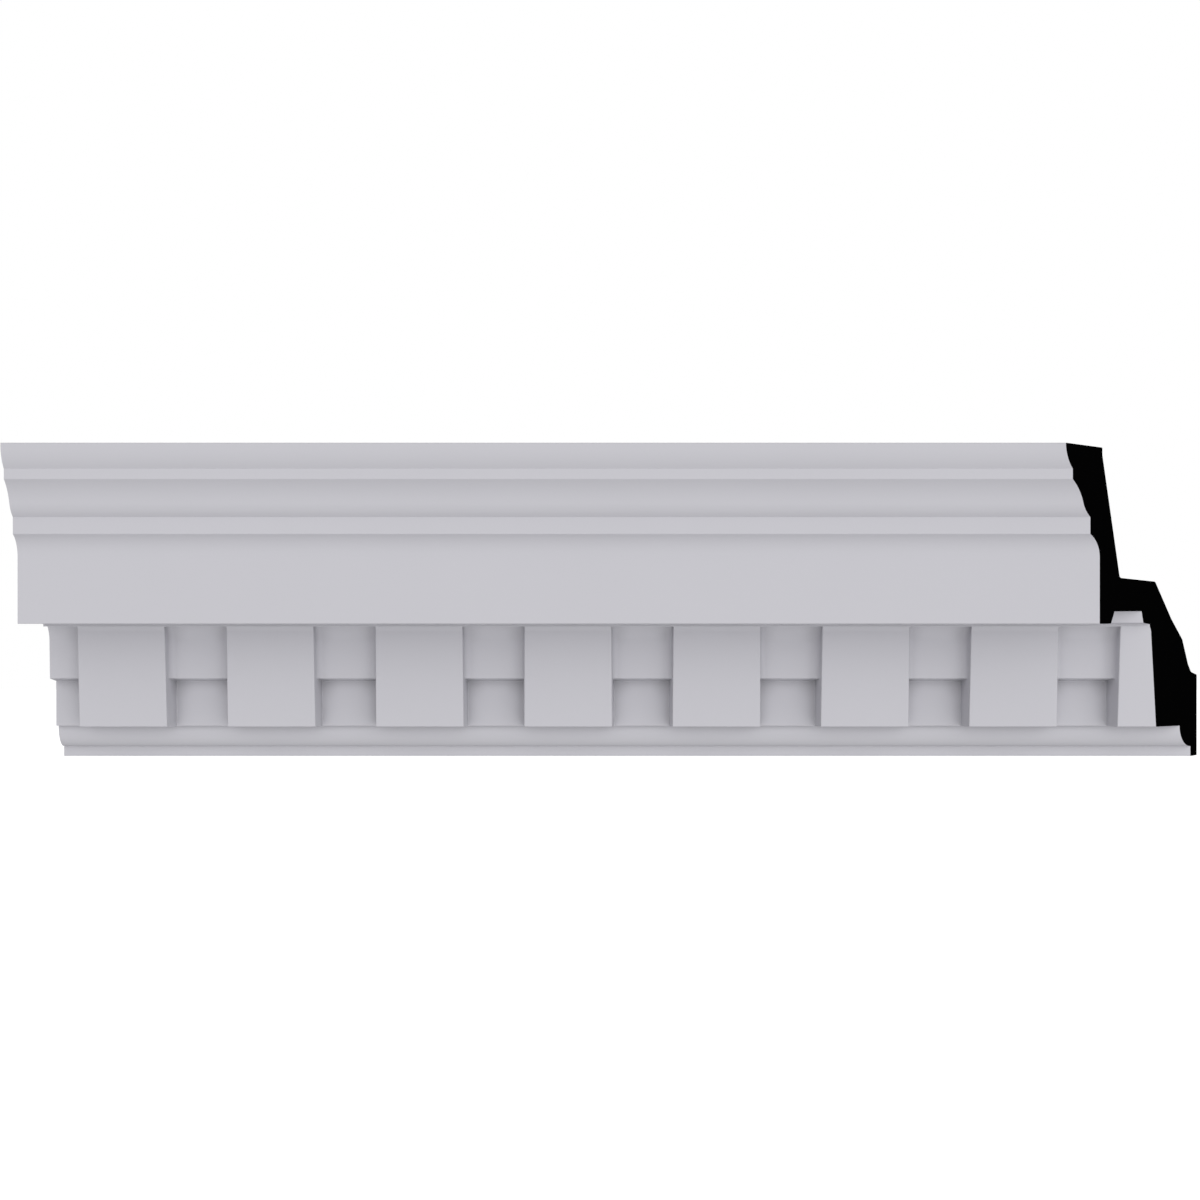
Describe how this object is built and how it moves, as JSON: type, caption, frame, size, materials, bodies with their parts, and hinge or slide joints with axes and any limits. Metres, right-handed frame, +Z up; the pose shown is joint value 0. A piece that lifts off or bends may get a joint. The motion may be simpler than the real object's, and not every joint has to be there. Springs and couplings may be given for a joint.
{
  "type": "cornice moulding length",
  "caption": "Dentil cornice moulding length with ogee crown, plain fascia, grooved soffit, tapered dentils over a small bed mould, one square end and one mitred end.",
  "frame": {"origin": "centre of the flat face that lies on the wall, halfway along the wall line and halfway up that face", "axes": "+X along the moulding towards the mitred end, +Y into the wall, +Z up towards the ceiling"},
  "size_m": [0.766, 0.124, 0.2],
  "materials": {
    "primed_face": "factory-primed moulded foam, matt pale grey"
  },
  "bodies": {
    "root": {"cornice_moulding": "primed_face"}
  },
  "joints": []
}
